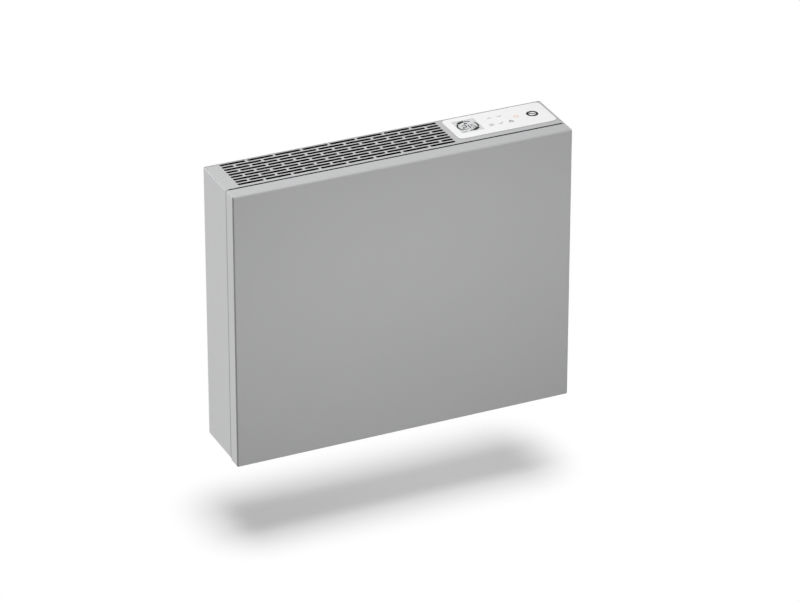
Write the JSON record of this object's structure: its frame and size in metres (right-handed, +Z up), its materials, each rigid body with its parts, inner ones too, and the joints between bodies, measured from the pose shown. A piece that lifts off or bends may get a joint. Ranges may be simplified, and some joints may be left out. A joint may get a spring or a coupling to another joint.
{
  "type": "electric convector heater",
  "caption": "Slim wall-hung electric convector heater in folded grey sheet steel, with a slotted top outlet, a touch control plate, a plain pull-off front and a hook-on wall bracket.",
  "frame": {"origin": "centre of the wall bracket's four screw holes, on the wall's plane", "axes": "+X to the right seen from the front, +Y into the wall, +Z up"},
  "size_m": [0.6332, 0.144, 0.5168],
  "materials": {
    "panel_paint": "satin silver-grey powder coat",
    "casing_paint": "satin silver-grey powder coat",
    "zinc_sheet": "zinc-coated sheet",
    "reflector_sheet": "bright aluminised sheet",
    "element_alloy": "matt extruded alloy",
    "rod_steel": "dull sheath steel",
    "bush_ceramic": "unglazed steatite",
    "terminal_metal": "tinned",
    "cutout_case": "black phenolic",
    "plate_white": "white satin front plate",
    "display_glass": "grey display window",
    "inner_white": "white moulding",
    "board_green": "solder-masked board",
    "pad_rubber": "conductive rubber",
    "black_moulding": "black nylon",
    "rocker_gloss": "black gloss rocker",
    "capacitor_box": "yellow film box",
    "core_ferrite": "ferrite and tape",
    "sink_alloy": "plain extruded alloy",
    "standoff_nylon": "nylon",
    "bracket_paint": "grey powder coat"
  },
  "bodies": {
    "bracket": {"wall_bracket": "bracket_paint"},
    "heater": {"side_panel_left": "casing_paint", "side_panel_right": "casing_paint", "top_grille": "casing_paint", "bottom_grille": "casing_paint", "back_panel": "zinc_sheet", "partition_wall": "zinc_sheet", "bay_cover": "zinc_sheet", "element_bracket_left": "zinc_sheet", "element_bracket_right": "zinc_sheet", "casing_screws": "zinc_sheet", "heat_shield": "reflector_sheet", "heating_element": "element_alloy", "element_rod": "rod_steel", "element_bushes": "bush_ceramic", "element_terminals": "terminal_metal", "thermal_cutout": "cutout_case", "control_plate": "plate_white", "display_lens": "display_glass", "control_housing": "inner_white", "display_module": "inner_white", "terminal_block": "inner_white", "sensor_clip": "inner_white", "panel_sockets": "inner_white", "control_board": "board_green", "power_board": "board_green", "touch_pads": "pad_rubber", "lead_grommet": "pad_rubber", "wall_spacers": "pad_rubber", "power_relay": "black_moulding", "cord_gland": "black_moulding", "gland_nut": "black_moulding", "mains_switch": "black_moulding", "air_sensor": "black_moulding", "filter_capacitor": "capacitor_box", "supply_transformer": "core_ferrite", "triac_heatsink": "sink_alloy", "board_standoffs": "standoff_nylon"},
    "front": {"front_panel": "panel_paint", "panel_pegs": "zinc_sheet"},
    "rocker": {"mains_rocker": "rocker_gloss"}
  },
  "joints": [
    {"name": "heater_lift", "type": "slide", "parent": "bracket", "child": "heater", "axis": [0, 0, 1], "range_m": [0, 0.013]},
    {"name": "panel_pull", "type": "slide", "parent": "heater", "child": "front", "axis": [0, -1, 0], "range_m": [0, 0.12]},
    {"name": "rocker_tilt", "type": "hinge", "parent": "heater", "child": "rocker", "pos_m": [0.3125, -0.06, -0.28], "axis": [0, 1, 0], "range_deg": [-16, 0]}
  ]
}
